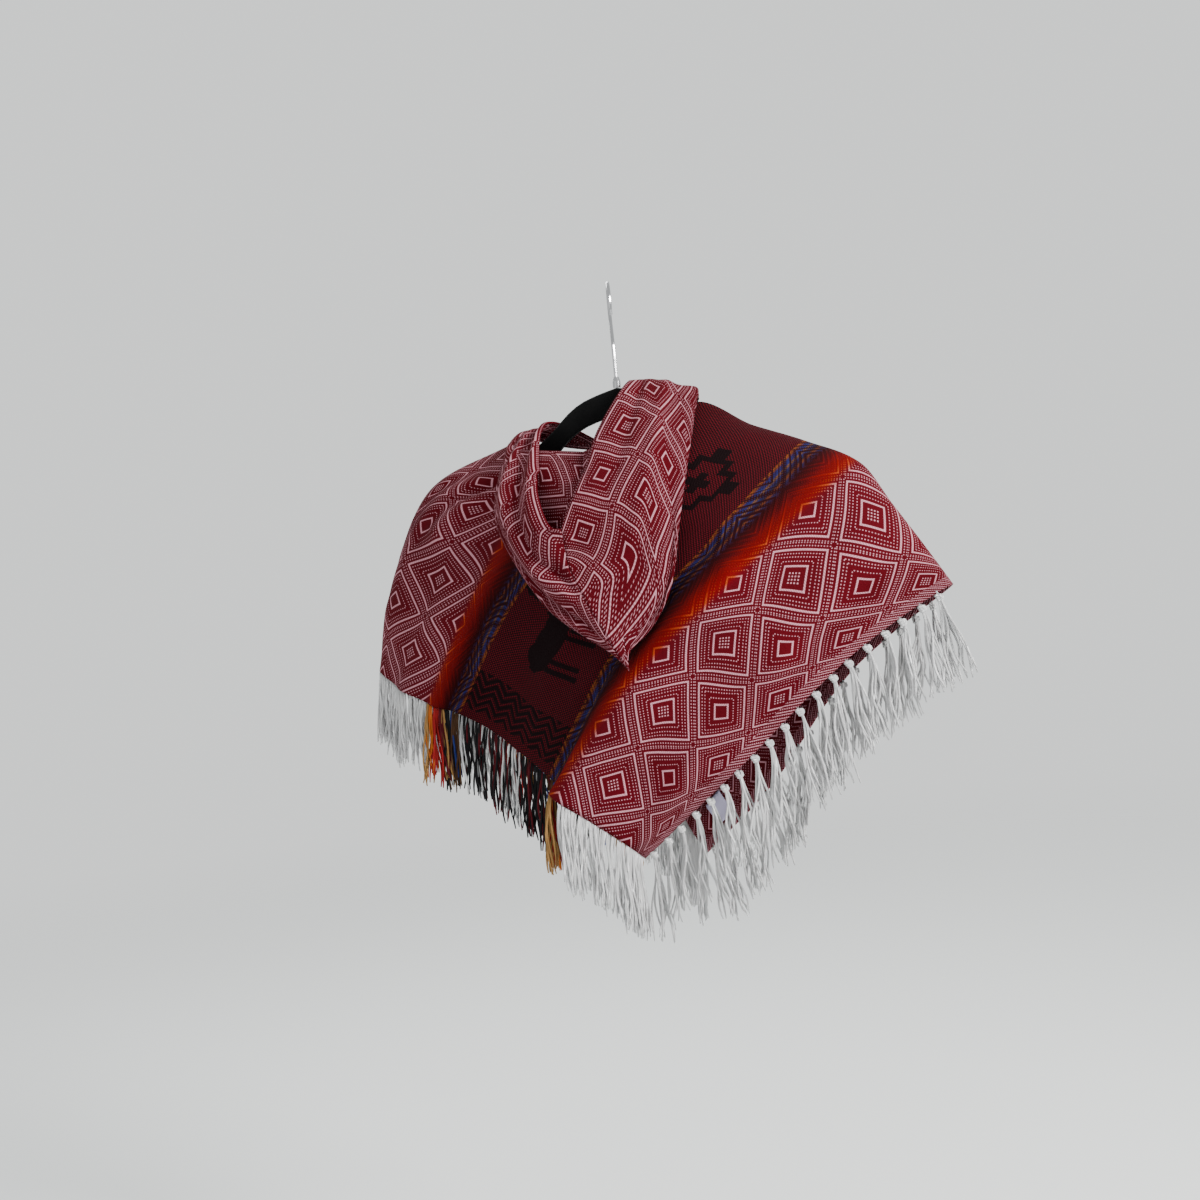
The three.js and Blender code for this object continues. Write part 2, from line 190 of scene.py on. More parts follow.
class Shader:
    """A material with one Principled surface, and one way to add any node."""

    def __init__(self, name, **constants):
        self.material = bpy.data.materials.new(name)
        self.material.use_nodes = True
        self.tree = self.material.node_tree
        self.surface = self.tree.nodes["Principled BSDF"]
        for socket, value in constants.items():
            self.surface.inputs[socket.replace("_", " ")].default_value = value

    def node(self, kind, settings=None, inputs=(), output=0):
        made = self.tree.nodes.new(kind)
        for key, value in (settings or {}).items():
            setattr(made, key, value)
        pairs = inputs.items() if isinstance(inputs, dict) else enumerate(inputs)
        for key, value in pairs:
            if isinstance(value, Number):
                self.tree.links.new(value.socket, made.inputs[key])
            else:
                made.inputs[key].default_value = value
        return Number(self, made.outputs[output])

    def feed(self, socket, value):
        self.tree.links.new(value.socket, self.surface.inputs[socket])

    def uv(self, name):
        """The two numbers of a UV map, in millimetres."""
        place = self.node("ShaderNodeUVMap", {"uv_map": name})
        parts = self.node("ShaderNodeSeparateXYZ", None, [place])
        first = parts.socket.node.outputs
        return Number(self, first[0]) * 1000.0, Number(self, first[1]) * 1000.0

    def noise(self, scale, detail=2.0, rough=0.5):
        place = self.node("ShaderNodeTexCoord", output=3)
        return self.node(
            "ShaderNodeTexNoise", None,
            {"Vector": place, "Scale": scale, "Detail": detail, "Roughness": rough})

    def ramp(self, value, low, high, stops):
        """A colour read from (place, colour) stops between low and high."""
        share = (value - low) / (high - low)
        made = self.tree.nodes.new("ShaderNodeValToRGB")
        scale = made.color_ramp
        while len(scale.elements) < len(stops):
            scale.elements.new(0.5)
        for element, (place, colour) in zip(scale.elements, stops):
            element.position = (place - low) / (high - low)
            element.color = (*colour, 1.0)
        self.tree.links.new(share.socket, made.inputs[0])
        return Number(self, made.outputs[0])

    def blend(self, share, first, second, how="MIX"):
        """A colour between two, each a colour or (r, g, b)."""
        whole = [(*c, 1.0) if isinstance(c, tuple) else c for c in (first, second)]
        return self.node(
            "ShaderNodeMix", {"data_type": "RGBA", "blend_type": how},
            {0: share, 6: whole[0], 7: whole[1]}, output=2)

    def bump(self, height, distance, strength=1.0):
        raised = self.node(
            "ShaderNodeBump", None, {"Strength": strength, "Distance": distance, "Height": height})
        self.feed("Normal", raised)


# ------------------------------------------------------------------ the woven cloth's finish

CRIMSON = (0.086, 0.0, 0.004)
PALE_YARN = (0.66, 0.31, 0.37)
BLACK_WEFT = (0.003, 0.001, 0.0015)
DULL_RED = (0.10, 0.003, 0.008)

GROUND_STOPS = [             # by distance from the middle of the dark band
  (58, (0.030, 0.003, 0.004)), (66, (0.014, 0.002, 0.004)), (76, (0.016, 0.001, 0.003)),
  (88, (0.018, 0.0005, 0.001)), (98, (0.04, 0.0004, 0.001)), (108, (0.11, 0.0004, 0.001)),
  (118, (0.15, 0.0005, 0.001)), (RAINBOW_OUT, CRIMSON),
]
YARN_STOPS = [
  (58, (0.26, 0.07, 0.012)), (61, (0.16, 0.04, 0.01)), (63, (0.010, 0.016, 0.10)),
  (67, (0.014, 0.022, 0.13)), (69, (0.16, 0.07, 0.015)), (72, (0.010, 0.014, 0.08)),
  (76, (0.012, 0.01, 0.02)), (79, (0.14, 0.035, 0.006)), (82, (0.012, 0.012, 0.05)),
  (88, (0.03, 0.001, 0.002)), (97, (0.09, 0.001, 0.001)), (106, (0.17, 0.002, 0.001)),
  (114, (0.22, 0.005, 0.001)), (122, (0.42, 0.06, 0.01)), (RAINBOW_OUT + 4, PALE_YARN),
]


def squares(a, b):
    """Rings and rows of dots of a chequer of two kinds of square. a and b run across its cells.
    Gives how much pale yarn shows, and the distance from each square's centre."""
    turn = 2.0 * math.pi
    column = (a / CELL).floor()
    row = (b / CELL).floor()
    near_a = a - (column + 0.5) * CELL
    near_b = b - (row + 0.5) * CELL
    odd = abs((column + row).math("MODULO", 2.0))
    off_a = abs(near_a)
    off_b = abs(near_b)
    out = off_a.at_least(off_b)
    upright = (off_a - off_b).over(0.0, 0.02)
    along = near_b * upright + near_a * (1.0 - upright)
    twill = ((along + out) * (turn / 2.3)).sin()
    outer = out.near(25.1 - 1.9 * odd, 0.88)
    inner = out.near(10.6 - 3.9 * odd, 0.88)
    lines = outer.at_least(inner) * (0.80 + 0.20 * twill)
    beads = (along * (turn / 2.7)).cos().over(0.2, 0.45)
    rows = out.near(28.4, 0.46)
    for place, shift in ((21.7, 1.9), (18.7, 1.7), (14.9, 2.6)):
        rows = rows.at_least(out.near(place - shift * odd, 0.44))
    edge = out.near(26.9, 0.5) * odd
    dots = rows.at_least(edge * 0.8) * beads
    columns = (-((near_a * (turn / 2.9)).cos())).over(0.0, 0.5)
    lattice = columns * (-((near_b * (turn / 2.9)).cos())).over(0.0, 0.5)
    middle = lattice * (6.3 - out).over(0.0, 0.4) * (1.0 - odd)
    return lines.at_least(dots * 0.80).at_least(middle * 0.80), out


def box_mark(x, y, left, right, low, high):
    """1 inside an upright box."""
    across = x.near((left + right) / 2, abs(right - left) / 2, 0.6)
    return across * y.near((low + high) / 2, abs(high - low) / 2, 0.6)


def round_mark(x, y, centre_x, centre_y, half_x, half_y):
    """1 inside an ellipse."""
    u = (x - centre_x) / half_x
    w = (y - centre_y) / half_y
    return (1.0 - (u * u + w * w)).over(0.0, 0.12)


ANIMAL_BOXES = [             # a grazing beast in profile: left, right, low, high
  (-21, -16.5, -31, -4), (-13, -9, -29, -2), (9, 13, -30, -2), (16, 20.5, -31, -4),
  (16, 24, 4, 20), (20, 27, 16, 34), (24, 30, 40, 46), (-28, -23, 2, 10),
]
ANIMAL_ROUNDS = [(-1, 5, 24, 11), (14, 7, 11, 10), (-15, 6, 11, 11), (29, 37, 9, 5.4)]
STEPPED_BOXES = [(-40, 40, -7, 7), (-28, 28, -17, 17), (-17, 17, -28, 28), (-7, 7, -40, 40)]
STEPPED_HOLES = [(-23, 23, -11, 11), (-11, 11, -23, 23)]
STEPPED_HEART = [(-11, 11, -4, 4), (-4, 4, -11, 11)]


def any_of(marks):
    whole = marks[0]
    for mark in marks[1:]:
        whole = whole.at_least(mark)
    return whole


def band_figures(q, p):
    """Black figures of the dark band: a beast, a stepped cross and a zigzag border at the hem."""
    across = q - BAND_MIDDLE
    folded = NEAR_LENGTH - abs(p - NEAR_LENGTH)
    along = (folded - 122.0) / 1.3
    beast_across = across / 1.3
    beast = any_of([box_mark(along, beast_across, *row) for row in ANIMAL_BOXES]
                   + [round_mark(along, beast_across, *row) for row in ANIMAL_ROUNDS])
    up = folded - 318.0
    solid = any_of([box_mark(up, across, *row) for row in STEPPED_BOXES])
    holes = any_of([box_mark(up, across, *row) for row in STEPPED_HOLES])
    heart = any_of([box_mark(up, across, *row) for row in STEPPED_HEART])
    cross = solid * (1.0 - holes) + heart
    saw = abs((across / 22.0).math("FRACT") - 0.5) * 22.0
    zigzag = ((folded + saw) * (2.0 * math.pi / 9.0)).cos().over(0.0, 0.4)
    border = zigzag * folded.near(32.0, 22.0, 1.0)
    return beast.at_least(cross).at_least(border)


def weave_height(q, p, pale):
    """The relief of the weave: fine ribs, with the pale floats standing up."""
    turn = 2.0 * math.pi
    ribs = (q * (turn / 1.7)).sin() * (p * (turn / 1.7)).sin()
    return pale + ribs * 0.35


def finish_cloth(shader, colour, height):
    """Wool's fuzz and handling over a woven colour."""
    fuzz = shader.noise(900.0, 3.0, 0.7)
    cloudy = shader.noise(14.0, 2.0)
    worn = shader.blend(0.22 * fuzz, colour, (0.02, 0.0, 0.002))
    toned = shader.blend(cloudy.over(0.5, 0.5) * 0.22, worn, (0.0, 0.0, 0.0))
    shader.feed("Base Color", toned)
    shader.feed("Roughness", 0.80 + 0.15 * fuzz)
    shader.bump(height + fuzz * 0.5, 0.0007, 0.85)


def woven_body():
    """The striped loom width: diamonds, rainbow, dark figured band, rainbow, diamonds."""
    shader = Shader("woven_body", Specular_IOR_Level=0.08)
    q, p = shader.uv("weave")
    a = (q + p) / math.sqrt(2.0)
    b = (q - p) / math.sqrt(2.0)
    start_a = (SQUARE_YARN + SQUARE_HEIGHT) / math.sqrt(2.0) - CELL / 2
    start_b = (SQUARE_YARN - SQUARE_HEIGHT) / math.sqrt(2.0) - CELL / 2
    pale, out = squares(a - start_a, b - start_b)
    middle = abs(q - BAND_MIDDLE)
    in_rainbow = (RAINBOW_OUT - middle).over(22.0, 14.0)
    chevrons = (out * (2.0 * math.pi / 5.2)).cos().over(0.1, 0.6)
    grain = (q * (2.0 * math.pi / 3.1)).cos() * (p * (2.0 * math.pi / 3.1)).cos()
    shown = pale.at_least(chevrons * in_rainbow * (0.55 + 0.45 * grain))
    selvedge = (14.0 - q).over(0.0, 1.0)
    twill = ((q + p) * (2.0 * math.pi / 4.4)).cos().over(0.1, 0.5) * grain.over(-0.3, 0.6)
    shown = shown * (1.0 - selvedge) + twill * selvedge * 0.75
    ground = shader.ramp(middle, 50.0, 130.0, GROUND_STOPS)
    yarn = shader.ramp(middle, 50.0, 136.0, YARN_STOPS)
    striped = shader.blend(shown, ground, yarn)
    speckle = grain.over(0.12, 0.3)
    figures = band_figures(q, p)
    dark = shader.blend(speckle * (1.0 - figures), BLACK_WEFT, DULL_RED)
    in_band = (BAND_HALF - middle).over(0.0, 1.0)
    colour = shader.blend(in_band, striped, dark)
    raised = shown * (1.0 - in_band) + (figures * 0.6 + speckle * 0.3) * in_band
    finish_cloth(shader, colour, weave_height(q, p, raised))
    return shader.material


def woven_hood():
    """Plain chequer of squares, standing upright on the hood."""
    shader = Shader("woven_hood", Specular_IOR_Level=0.08)
    s, t = shader.uv("weave")
    pale, _ = squares(s, t)
    colour = shader.blend(pale, CRIMSON, PALE_YARN)
    finish_cloth(shader, colour, weave_height(s, t, pale))
    return shader.material


def plied_yarn():
    """Loose wool yarn: its colour is the strand's own, with painted shade in the grooves between its twisted
    plies.
    """
    shader = Shader("plied_yarn", Roughness=0.9, Specular_IOR_Level=0.08)
    around, along = shader.uv("strand")
    twist = ((along / 2.6 + around) * (2.0 * math.pi)).sin()
    dye = shader.node("ShaderNodeAttribute", {"attribute_name": "dye"})
    fuzz = shader.noise(700.0, 2.0, 0.6)
    # painted shade: the colour darkens by a twentieth in the grooves between the plies, following the twist
    shade = shader.blend(twist.over(-0.4, 1.2), (0.95, 0.945, 0.95), (1.0, 1.0, 1.0))
    toned = shader.blend(1.0, dye, shade, "MULTIPLY")
    shader.feed("Base Color", shader.blend(fuzz * 0.03, toned, (0.6, 0.58, 0.58)))
    shader.bump(twist + fuzz, 0.0004, 0.8)
    return shader.material


def label_finish():
    """A smooth blank satin patch with a woven edge."""
    shader = Shader("label_satin", Sheen_Weight=0.1)
    u, v = shader.uv("weave")
    edge = (u.near(0.0, 1.2)).at_least(u.near(float(LABEL_WIDTH), 1.2))
    weft = (v * (2.0 * math.pi / 0.8)).sin()
    colour = shader.blend(edge, (0.50, 0.47, 0.66), (0.36, 0.33, 0.52))
    shader.feed("Base Color", shader.blend(0.15 * weft.over(0.0, 1.0), colour, (0.7, 0.68, 0.8)))
    shader.feed("Roughness", 0.42 + 0.06 * weft)
    shader.bump(weft, 0.0001)
    return shader.material


def flock():
    """Short black velvet pile over the hanger's arms."""
    shader = Shader("flock", Sheen_Weight=0.12, Sheen_Roughness=0.35, Specular_IOR_Level=0.1)
    pile = shader.noise(1600.0, 3.0, 0.8)
    rubbed = shader.noise(30.0, 2.0)
    colour = shader.blend(rubbed.over(0.55, 0.3) * 0.5, (0.002, 0.002, 0.0022), (0.006, 0.006, 0.006))
    shader.feed("Base Color", colour)
    shader.feed("Roughness", 0.82 + 0.16 * pile)
    shader.bump(pile, 0.0005, 0.7)
    return shader.material


def chrome():
    """Bright plated wire with faint drawn lines and a few dull spots."""
    shader = Shader("chrome_wire", Metallic=1.0)
    spots = shader.noise(220.0, 3.0, 0.6)
    drawn = shader.noise(45.0, 2.0)
    dull = spots.over(0.62, 0.2) * 0.3
    shader.feed("Base Color", shader.blend(dull, (0.36, 0.36, 0.37), (0.24, 0.24, 0.25)))
    shader.feed("Roughness", 0.10 + 0.14 * drawn)
    return shader.material


def studio_floor():
    shader = Shader("studio_floor", Roughness=0.9)
    faint = shader.noise(3.0, 2.0)
    shader.feed("Base Color", shader.blend(faint * 0.1, (0.80, 0.82, 0.815), (0.76, 0.78, 0.775)))
    place = shader.node("ShaderNodeTexCoord", output=3)
    away = shader.node("ShaderNodeVectorMath", {"operation": "LENGTH"}, [place], output=1)
    clear = shader.node("ShaderNodeBsdfTransparent")
    surface = Number(shader, shader.surface.outputs[0])
    faded = shader.node("ShaderNodeMixShader", None, [away.over(2.6, 3.2), surface, clear])
    ending = shader.tree.nodes["Material Output"]
    shader.tree.links.new(faded.socket, ending.inputs["Surface"])
    return shader.material


# ------------------------------------------------------------------ curves through rows


def through(stops, values, x):
    """Smooth values at x through the rows' values, with slopes taken from the neighbouring rows."""
    stops = np.asarray(stops, float)
    values = np.asarray(values, float)
    slope = np.empty_like(values)
    slope[1:-1] = (values[2:] - values[:-2]) / (stops[2:] - stops[:-2])[:, None]
    slope[0] = (values[1] - values[0]) / (stops[1] - stops[0])
    slope[-1] = (values[-1] - values[-2]) / (stops[-1] - stops[-2])
    k = np.clip(np.searchsorted(stops, x) - 1, 0, len(stops) - 2)
    span = (stops[k + 1] - stops[k])[:, None]
    t = (np.asarray(x, float) - stops[k])[:, None] / span
    u = 1 - t
    return (values[k] * (1 + 2 * t) * u * u + values[k + 1] * (1 + 2 * u) * t * t
            + slope[k] * span * t * u * u - slope[k + 1] * span * t * t * u)


def net(rows, steps, x, v):
    """Points over a surface whose rows are {at, points}, at every x across and v along."""
    beyond = 2 * steps[-1] - steps[-2]
    lines = []
    for row in rows:
        stops = [*steps, beyond] if len(row["points"]) > len(steps) else steps
        lines.append(through(stops, row["points"], v))
    flat = np.array(lines).reshape(len(rows), -1)
    return through([row["at"] for row in rows], flat, x).reshape(len(x), len(v), 3)


def smoothstep(x, low, high):
    t = np.clip((x - low) / (high - low), 0.0, 1.0)
    return t * t * (3.0 - 2.0 * t)


# ------------------------------------------------------------------ the body's warp lines

THIRDS = [0.0, 1 / 3, 2 / 3, 1.0]
SHOULDER = {                 # tops of the yarns that reach the fold
    0: (301, 0, -312), 66: (279, 0, -276), 108: (254, 0, -237), 150: (229, 0, -198),
    219: (180, 0, -172), 277: (131, 0, -151), 335: (77, 0, -123),
}
SEAM = [(-283, 34, -360), (-273, 8, -268), (-220, 0, -174), (-116, 0, -136)]


def warp(name, at, *points):
    """One warp yarn: its place, then its hem, a third and two thirds of the way up, and its top."""
    tops = [SHOULDER[at]] if at in SHOULDER else []
    return {"name": name, "at": float(at), "points": [*points, *tops]}


NEAR = [
    warp("knotted edge", 0, (12, -60, -535), (118, -68, -453), (220, -45, -364)),
    warp("small diamonds", 66, (6, -84, -518), (87, -88, -425), (179, -66, -345)),
    warp("large diamonds", 108, (-21, -100, -494), (72, -104, -391), (165, -76, -307)),
    warp("crest of fold", 150, (-44, -112, -473), (45, -116, -373), (147, -86, -283)),
    warp("foot of fold", 219, (-78, -66, -456), (10, -88, -343), (123, -76, -241)),
    warp("middle of dark band", 277, (-128, -52, -422), (-47, -74, -330), (70, -76, -232)),
    warp("edge of dark band", 335, (-180, -44, -395), (-91, -68, -288), (14, -78, -208)),
    warp("left tinted diamonds", 404,
        (-211, -50, -381), (-140, -62, -278), (-72, -62, -200), (26, -38, -163)),
    warp("left large diamonds", 446,
        (-260, -32, -366), (-201, -48, -278), (-142, -46, -201), (-38, -46, -174)),
    warp("left small diamonds", 500,
        (-287, -6, -350), (-262, -14, -266), (-206, -16, -182), (-92, -28, -158)),
    warp("seam", 550, *SEAM),
]
FAR = [
    warp("knotted edge", 0, (20, 66, -554), (94, 62, -490), (191, 38, -384)),
    warp("large diamonds", 108, (-30, 98, -508), (50, 92, -415), (165, 58, -310)),
    warp("foot of fold", 219, (-98, 74, -470), (-25, 76, -368), (95, 58, -250)),
    warp("edge of dark band", 335, (-160, 96, -436), (-100, 80, -340), (-10, 66, -220)),
    warp("left large diamonds", 446, (-232, 70, -398), (-198, 66, -298), (-122, 56, -202), (-22, 58, -160)),
    warp("seam", 550, *SEAM),
]


def over_fold(rows, other):
    """The yarns that lie over the fold run on into the other layer."""
    carried = []
    for row in rows:
        points = list(row["points"])
        if row["at"] < NECK_START:
            points.append(tuple(net(other, THIRDS, np.array([row["at"]]), np.array([THIRDS[2]]))[0, 0]))
        carried.append({"at": row["at"], "points": points})
    return carried


NEAR_NET = over_fold(NEAR, FAR)
FAR_NET = over_fold(FAR, NEAR)


def yarn_length(q, whole):
    """From the hem to the top of each yarn: the neck's scoop takes a quarter ellipse."""
    scooped = np.clip((q - NECK_START - 5.0) / (LOOM_WIDTH - NECK_START - 5.0), 0.0, 1.0)
    return whole - NECK_DEPTH * np.sqrt(1.0 - (1.0 - scooped) ** 2)


# Soft troughs (below 0) and ridges of the cloth, each along a line from one place on it to another.
NEAR_CREASES = [
    {"name": "pinch at the neck", "from": (470, 270), "to": (486, 150), "width": 11, "depth": -7},
    {"name": "roll beside the pinch", "from": (446, 285), "to": (462, 170), "width": 12, "depth": 6},
    {"name": "left shoulder drag", "from": (520, 250), "to": (500, 90), "width": 16, "depth": -4},
    {"name": "left hem flute", "from": (505, 0), "to": (490, 150), "width": 18, "depth": 5},
    {"name": "left hem hollow", "from": (455, 0), "to": (450, 130), "width": 17, "depth": -5},
    {"name": "rainbow flute", "from": (385, 0), "to": (380, 190), "width": 20, "depth": 5},
    {"name": "band hollow", "from": (300, 0), "to": (306, 170), "width": 22, "depth": -4},
    {"name": "band drag", "from": (262, 40), "to": (290, 240), "width": 14, "depth": 3},
    {"name": "foot of the main fold", "from": (206, 0), "to": (214, 260), "width": 13, "depth": -6},
    {"name": "crest of the main fold", "from": (158, 0), "to": (166, 250), "width": 16, "depth": 5},
    {"name": "right soft fold", "from": (96, 60), "to": (112, 330), "width": 18, "depth": -4},
    {"name": "right edge flute", "from": (44, 20), "to": (60, 240), "width": 16, "depth": 4},
    {"name": "corner hollow", "from": (18, 180), "to": (54, 330), "width": 15, "depth": -3},
    {"name": "shoulder drag", "from": (120, 395), "to": (200, 300), "width": 14, "depth": -3},
    {"name": "arm end", "from": (60, 400), "to": (30, 250), "width": 12, "depth": 3},
]
FAR_CREASES = [
    {"name": "neck pinch", "from": (450, 300), "to": (470, 170), "width": 12, "depth": 6},
    {"name": "left flute", "from": (500, 0), "to": (480, 190), "width": 18, "depth": 6},
    {"name": "left hollow", "from": (440, 0), "to": (430, 220), "width": 20, "depth": -7},
    {"name": "band ridge", "from": (350, 0), "to": (330, 260), "width": 20, "depth": 6},
    {"name": "band hollow", "from": (285, 10), "to": (300, 300), "width": 20, "depth": -6},
    {"name": "middle ridge", "from": (215, 0), "to": (250, 330), "width": 18, "depth": 5},
    {"name": "right hollow", "from": (160, 0), "to": (190, 300), "width": 18, "depth": -6},
    {"name": "right flute", "from": (95, 0), "to": (120, 320), "width": 17, "depth": 5},
    {"name": "edge hollow", "from": (45, 30), "to": (60, 300), "width": 15, "depth": -4},
]


def crease_height(creases, q, p):
    """How far the creases move the cloth out along its normal."""
    height = np.zeros(np.broadcast(q, p).shape)
    for crease in creases:
        start = np.array(crease["from"], float)
        run = np.array(crease["to"], float) - start
        share = ((q - start[0]) * run[0] + (p - start[1]) * run[1]) / (run @ run)
        inside = np.clip(share, 0.0, 1.0)
        off = np.hypot(q - start[0] - inside * run[0], p - start[1] - inside * run[1])
        wander = 1.0 + 0.18 * np.sin(inside * 7.0 + start[0])
        height += crease["depth"] * wander * np.exp(-(off / crease["width"]) ** 2)
    return height


def grid_normals(grid):
    across = np.gradient(grid, axis=0)
    along = np.gradient(grid, axis=1)
    normal = np.cross(across, along)
    return normal / np.maximum(np.linalg.norm(normal, axis=2, keepdims=True), 1e-9)


def layer(rows, whole, creases, q, v, outward):
    """One layer of the body with its creases; outward is -1 on the near layer and 1 on the far one."""
    grid = net(rows, THIRDS, q, v)
    if outward > 0:
        top = np.array([1.0])
        miss = net(NEAR_NET, THIRDS, q, top) - net(FAR_NET, THIRDS, q, top)
        grid += miss * (q < NECK_START)[:, None, None] * smoothstep(v, 0.4, 1.0)[None, :, None]
    run = np.cumsum(np.linalg.norm(np.diff(grid, axis=1), axis=2), axis=1)
    share = np.concatenate([np.zeros((len(q), 1)), run / run[:, -1:]], axis=1)
    height = (0.5 * share + 0.5 * v[None, :]) * yarn_length(q, whole)[:, None]
    normal = grid_normals(grid)
    normal *= outward
    fade = smoothstep(LOOM_WIDTH - q, 0.0, 30.0)[:, None] * smoothstep(1.0 - v, 0.0, 0.12)[None, :]
    relief = crease_height(creases, q[:, None], height) * fade
    ripple = 0.5 * np.sin(q[:, None] / 9.0 + height / 31.0) * np.sin(height / 13.0 + q[:, None] / 41.0)
    return grid + normal * (relief + ripple * fade)[..., None], height


# ------------------------------------------------------------------ mesh makers


def mesh_piece(name, points, faces, material, corner_uv, uv_name="weave"):
    """An object whose points are millimetres and whose place is in its mesh."""
    mesh = bpy.data.meshes.new(name)
    mesh.from_pydata((np.asarray(points) * MM).tolist(), [], faces)
    layer_of = mesh.uv_layers.new(name=uv_name)
    layer_of.data.foreach_set("uv", (np.asarray(corner_uv, np.float32) * MM).ravel())
    mesh.materials.append(material)
    mesh.polygons.foreach_set("use_smooth", [True] * len(mesh.polygons))
    mesh.update()
    piece = bpy.data.objects.new(name, mesh)
    bpy.context.collection.objects.link(piece)
    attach(piece, "root")
    return piece


def thicken(piece, thickness):
    """Give a sheet its wall, and apply it."""
    bpy.ops.object.select_all(action="DESELECT")
    piece.select_set(True)
    bpy.context.view_layer.objects.active = piece
    wall = piece.modifiers.new("wall", "SOLIDIFY")
    wall.thickness = thickness * MM
    wall.offset = 0.0
    bpy.ops.object.modifier_apply(modifier=wall.name)


def quads_of(index, flip):
    """Faces over a grid of point numbers, turned over when flip is true."""
    corners = [index[:-1, :-1], index[1:, :-1], index[1:, 1:], index[:-1, 1:]]
    if flip:
        corners = corners[::-1]
    return np.stack([corner.ravel() for corner in corners], axis=1)


def grid_uv(quads, numbers, coords):
    """Corner coordinates for quads whose point numbers index a grid's coordinates."""
    lookup = np.zeros((numbers.max() + 1, 2))
    lookup[numbers.ravel()] = coords.reshape(-1, 2)
    return lookup[quads.ravel()]


# ------------------------------------------------------------------ body

BODY_Q = np.concatenate([np.linspace(0, NECK_START, 80), np.linspace(NECK_START, LOOM_WIDTH, 52)[1:]])
BODY_V = np.linspace(0.0, 1.0, 92)


def make_body(material):
    near, near_height = layer(NEAR_NET, NEAR_LENGTH, NEAR_CREASES, BODY_Q, BODY_V, -1)
    far, far_height = layer(FAR_NET, FAR_LENGTH, FAR_CREASES, BODY_Q, BODY_V, 1)
    count = near[..., 0].size
    near_index = np.arange(count).reshape(near.shape[:2])
    far_index = near_index + count
    over = BODY_Q <= NECK_START
    near_quads = quads_of(near_index, True)
    near_uv = grid_uv(near_quads, near_index, np.stack(np.broadcast_arrays(BODY_Q[:, None], near_height), -1))
    far_quads = quads_of(far_index, False)
    far_place = np.stack(np.broadcast_arrays(BODY_Q[:, None], NEAR_LENGTH + FAR_LENGTH - far_height), -1)
    far_uv = grid_uv(far_quads, far_index, far_place)
    shared = np.arange(2 * count)
    shared[far_index[over, -1]] = near_index[over, -1]
    shared[far_index[-1, :]] = near_index[-1, :]
    quads = shared[np.concatenate([near_quads, far_quads])]
    points = np.concatenate([near.reshape(-1, 3), far.reshape(-1, 3)])
    used, packed = np.unique(quads, return_inverse=True)
    faces = packed.reshape(quads.shape).tolist()
    body = mesh_piece("poncho_body", points[used], faces, material, np.concatenate([near_uv, far_uv]))
    thicken(body, CLOTH)
    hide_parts("body")
    return body, near, far


# ------------------------------------------------------------------ hood

QUARTERS = [0.0, 0.25, 0.5, 0.75, 1.0]
CROWN = [
    (-19, -98, -231), (-13, -111, -262), (4, -118, -296),
    (22, -123, -326), (36, -126, -348), (46, -129, -361),
]
BACK_SEAM = [(-14, -56, -160), (-2, -86, -198), (14, -101, -250), (32, -110, -306), CROWN[5]]
HOOD_RIGHT = [
    {"name": "face edge", "at": 0.0, "lift": 24,
     "points": [(-20, 50, -150), (15, 0, -94), (3, -56, -141), (-6, -84, -192), CROWN[0]]},
    {"name": "by the face", "at": 0.2, "lift": 24,
     "points": [(14, 46, -147), (34, 0, -96), (42, -76, -172), (30, -103, -243), CROWN[1]]},
    {"name": "side", "at": 0.4, "lift": 22,
     "points": [(48, 32, -138), (56, 0, -104), (68, -74, -182), (54, -104, -268), CROWN[2]]},
    {"name": "right fold", "at": 0.6, "lift": 15,
     "points": [(79, 8, -117), (83, -8, -117), (90, -78, -208), (76, -100, -292), CROWN[3]]},
    {"name": "under the fold", "at": 0.8, "lift": 7,
     "points": [(62, -26, -134), (74, -40, -150), (72, -76, -215), (66, -104, -314), CROWN[4]]},
    {"name": "back seam", "at": 1.0, "lift": 5, "points": BACK_SEAM},
]
HOOD_LEFT = [
    {"name": "face edge", "at": 0.0, "lift": 26,
     "points": [(-32, 50, -150), (-72, 0, -122), (-60, -58, -166), (-34, -92, -222), CROWN[0]]},
    {"name": "roll", "at": 0.2, "lift": 22,
     "points": [(-58, 46, -147), (-82, 0, -125), (-76, -72, -180), (-52, -105, -240), CROWN[1]]},
    {"name": "side", "at": 0.4, "lift": 18,
     "points": [(-84, 30, -141), (-94, -3, -128), (-92, -76, -194), (-54, -104, -262), CROWN[2]]},
    {"name": "left fold", "at": 0.6, "lift": 13,
     "points": [(-104, 10, -133), (-108, -14, -134), (-102, -78, -210), (-46, -106, -284), CROWN[3]]},
    {"name": "under the fold", "at": 0.8, "lift": 7,
     "points": [(-94, -32, -146), (-100, -44, -160), (-88, -70, -224), (-34, -108, -302), CROWN[4]]},
    {"name": "back seam", "at": 1.0, "lift": 5, "points": BACK_SEAM},
]

